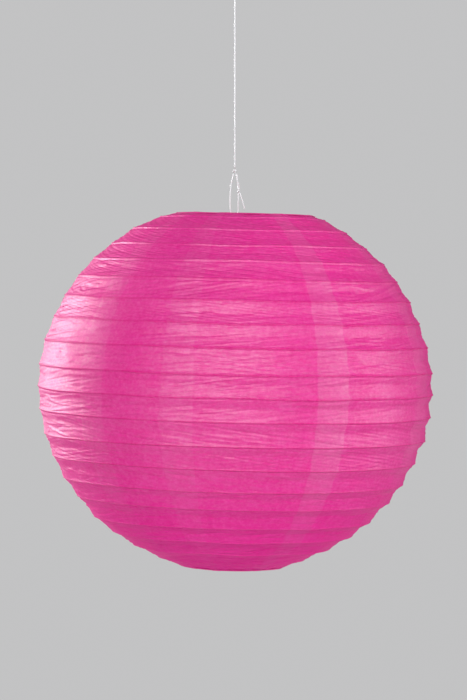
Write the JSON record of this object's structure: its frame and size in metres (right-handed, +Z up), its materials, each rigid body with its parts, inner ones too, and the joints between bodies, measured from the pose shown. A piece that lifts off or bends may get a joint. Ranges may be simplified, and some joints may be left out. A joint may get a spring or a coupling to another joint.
{
  "type": "paper lantern",
  "caption": "Round ribbed paper lantern with an open top and bottom, a wire stretcher inside, and a thin line that hangs it from a stick-on ceiling hook.",
  "frame": {"origin": "centre of the ceiling hook's stick-on face", "axes": "+Z up out of the stick-on face into the ceiling, +X to the right and +Y away as seen from the front"},
  "size_m": [0.2988, 0.299, 0.4911],
  "materials": {
    "pink_paper": "matte",
    "rib_wire": "satin",
    "steel_wire": "satin",
    "line": "gloss",
    "hook_plastic": "satin",
    "adhesive_foam": "matte"
  },
  "bodies": {
    "ceiling": {"adhesive_pad": "adhesive_foam", "hook_base": "hook_plastic", "ceiling_hook": "steel_wire"},
    "line_loop": {"line_top_loop": "line", "line_top_knot": "line"},
    "line": {"line_main": "line"},
    "low_knot": {"line_low_knot": "line"},
    "low_loop": {"line_low_loop": "line", "line_hitch": "line", "line_double_strand": "line", "line_tag_end": "line"},
    "shade_top": {"top_ring": "rib_wire", "stretcher": "steel_wire", "rib_1": "rib_wire", "paper_band_1": "pink_paper"},
    "shade_rib_2": {"rib_2": "rib_wire", "paper_band_2": "pink_paper"},
    "shade_rib_3": {"rib_3": "rib_wire", "paper_band_3": "pink_paper"},
    "shade_rib_4": {"rib_4": "rib_wire", "paper_band_4": "pink_paper"},
    "shade_rib_5": {"rib_5": "rib_wire", "paper_band_5": "pink_paper"},
    "shade_rib_6": {"rib_6": "rib_wire", "paper_band_6": "pink_paper"},
    "shade_rib_7": {"rib_7": "rib_wire", "paper_band_7": "pink_paper"},
    "shade_rib_8": {"rib_8": "rib_wire", "paper_band_8": "pink_paper"},
    "shade_rib_9": {"rib_9": "rib_wire", "paper_band_9": "pink_paper"},
    "shade_rib_10": {"rib_10": "rib_wire", "paper_band_10": "pink_paper"},
    "shade_rib_11": {"rib_11": "rib_wire", "paper_band_11": "pink_paper"},
    "shade_rib_12": {"rib_12": "rib_wire", "paper_band_12": "pink_paper"},
    "shade_rib_13": {"rib_13": "rib_wire", "paper_band_13": "pink_paper"},
    "shade_rib_14": {"rib_14": "rib_wire", "paper_band_14": "pink_paper"},
    "shade_rib_15": {"rib_15": "rib_wire", "paper_band_15": "pink_paper"},
    "shade_rib_16": {"rib_16": "rib_wire", "paper_band_16": "pink_paper"},
    "shade_rib_17": {"rib_17": "rib_wire", "paper_band_17": "pink_paper"},
    "shade_rib_18": {"rib_18": "rib_wire", "paper_band_18": "pink_paper"},
    "shade_rib_19": {"rib_19": "rib_wire", "paper_band_19": "pink_paper"},
    "shade_bottom_ring": {"bottom_ring": "rib_wire", "paper_band_20": "pink_paper"}
  },
  "joints": [
    {"name": "hook_swing", "type": "hinge", "parent": "ceiling", "child": "line_loop", "pos_m": [0, 0, -0.029], "axis": [1, 0, 0], "range_deg": [-30, 30]},
    {"name": "line_swing", "type": "hinge", "parent": "line_loop", "child": "line", "pos_m": [0, 0, -0.0475], "axis": [0, 1, 0], "range_deg": [-30, 30]},
    {"name": "line_twist", "type": "hinge", "parent": "line", "child": "low_knot", "pos_m": [0, 0, -0.1905], "axis": [0, 0, 1], "continuous": true},
    {"name": "loop_swing", "type": "hinge", "parent": "low_knot", "child": "low_loop", "pos_m": [0, 0, -0.1905], "axis": [1, 0, 0], "range_deg": [-25, 25]},
    {"name": "hanger_rock", "type": "hinge", "parent": "low_loop", "child": "shade_top", "pos_m": [0, 0, -0.23095], "axis": [0, 1, 0], "range_deg": [-25, 25]},
    {"name": "fold_2", "type": "slide", "parent": "shade_top", "child": "shade_rib_2", "axis": [0.0234, 0, 0.9997], "range_m": [0, 0.00762], "deforming": ["paper_band_2"]},
    {"name": "fold_3", "type": "slide", "parent": "shade_rib_2", "child": "shade_rib_3", "axis": [0.0234, 0, 0.9997], "range_m": [0, 0.01001], "deforming": ["paper_band_3"]},
    {"name": "fold_4", "type": "slide", "parent": "shade_rib_3", "child": "shade_rib_4", "axis": [0.0234, 0, 0.9997], "range_m": [0, 0.0098], "deforming": ["paper_band_4"]},
    {"name": "fold_5", "type": "slide", "parent": "shade_rib_4", "child": "shade_rib_5", "axis": [0.0234, 0, 0.9997], "range_m": [0, 0.01167], "deforming": ["paper_band_5"]},
    {"name": "fold_6", "type": "slide", "parent": "shade_rib_5", "child": "shade_rib_6", "axis": [0.0234, 0, 0.9997], "range_m": [0, 0.01347], "deforming": ["paper_band_6"]},
    {"name": "fold_7", "type": "slide", "parent": "shade_rib_6", "child": "shade_rib_7", "axis": [0.0234, 0, 0.9997], "range_m": [0, 0.01448], "deforming": ["paper_band_7"]},
    {"name": "fold_8", "type": "slide", "parent": "shade_rib_7", "child": "shade_rib_8", "axis": [0.0234, 0, 0.9997], "range_m": [0, 0.01596], "deforming": ["paper_band_8"]},
    {"name": "fold", "type": "slide", "parent": "shade_rib_8", "child": "shade_rib_9", "axis": [0.0234, 0, 0.9997], "range_m": [0, 0.01702], "deforming": ["paper_band_9"]},
    {"name": "fold_10", "type": "slide", "parent": "shade_rib_9", "child": "shade_rib_10", "axis": [0.0234, 0, 0.9997], "range_m": [0, 0.01511], "deforming": ["paper_band_10"]},
    {"name": "fold_11", "type": "slide", "parent": "shade_rib_10", "child": "shade_rib_11", "axis": [0.0234, 0, 0.9997], "range_m": [0, 0.01514], "deforming": ["paper_band_11"]},
    {"name": "fold_12", "type": "slide", "parent": "shade_rib_11", "child": "shade_rib_12", "axis": [0.0234, 0, 0.9997], "range_m": [0, 0.01654], "deforming": ["paper_band_12"]},
    {"name": "fold_13", "type": "slide", "parent": "shade_rib_12", "child": "shade_rib_13", "axis": [0.0234, 0, 0.9997], "range_m": [0, 0.01503], "deforming": ["paper_band_13"]},
    {"name": "fold_14", "type": "slide", "parent": "shade_rib_13", "child": "shade_rib_14", "axis": [0.0234, 0, 0.9997], "range_m": [0, 0.01477], "deforming": ["paper_band_14"]},
    {"name": "fold_15", "type": "slide", "parent": "shade_rib_14", "child": "shade_rib_15", "axis": [0.0234, 0, 0.9997], "range_m": [0, 0.01207], "deforming": ["paper_band_15"]},
    {"name": "fold_16", "type": "slide", "parent": "shade_rib_15", "child": "shade_rib_16", "axis": [0.0234, 0, 0.9997], "range_m": [0, 0.0133], "deforming": ["paper_band_16"]},
    {"name": "fold_17", "type": "slide", "parent": "shade_rib_16", "child": "shade_rib_17", "axis": [0.0234, 0, 0.9997], "range_m": [0, 0.00938], "deforming": ["paper_band_17"]},
    {"name": "fold_18", "type": "slide", "parent": "shade_rib_17", "child": "shade_rib_18", "axis": [0.0234, 0, 0.9997], "range_m": [0, 0.00872], "deforming": ["paper_band_18"]},
    {"name": "fold_19", "type": "slide", "parent": "shade_rib_18", "child": "shade_rib_19", "axis": [0.0234, 0, 0.9997], "range_m": [0, 0.00696], "deforming": ["paper_band_19"]},
    {"name": "fold_20", "type": "slide", "parent": "shade_rib_19", "child": "shade_bottom_ring", "axis": [0.0234, 0, 0.9997], "range_m": [0, 0.00479], "deforming": ["paper_band_20"]}
  ],
  "couplings": [
    {"joint": "fold_2", "follows": "fold", "ratio": 0.44735},
    {"joint": "fold_3", "follows": "fold", "ratio": 0.58831},
    {"joint": "fold_4", "follows": "fold", "ratio": 0.57564},
    {"joint": "fold_5", "follows": "fold", "ratio": 0.68547},
    {"joint": "fold_6", "follows": "fold", "ratio": 0.79156},
    {"joint": "fold_7", "follows": "fold", "ratio": 0.85064},
    {"joint": "fold_8", "follows": "fold", "ratio": 0.93776},
    {"joint": "fold_10", "follows": "fold", "ratio": 0.8874},
    {"joint": "fold_11", "follows": "fold", "ratio": 0.88947},
    {"joint": "fold_12", "follows": "fold", "ratio": 0.97142},
    {"joint": "fold_13", "follows": "fold", "ratio": 0.88313},
    {"joint": "fold_14", "follows": "fold", "ratio": 0.86766},
    {"joint": "fold_15", "follows": "fold", "ratio": 0.7093},
    {"joint": "fold_16", "follows": "fold", "ratio": 0.78149},
    {"joint": "fold_17", "follows": "fold", "ratio": 0.55116},
    {"joint": "fold_18", "follows": "fold", "ratio": 0.51204},
    {"joint": "fold_19", "follows": "fold", "ratio": 0.40863},
    {"joint": "fold_20", "follows": "fold", "ratio": 0.28122}
  ]
}
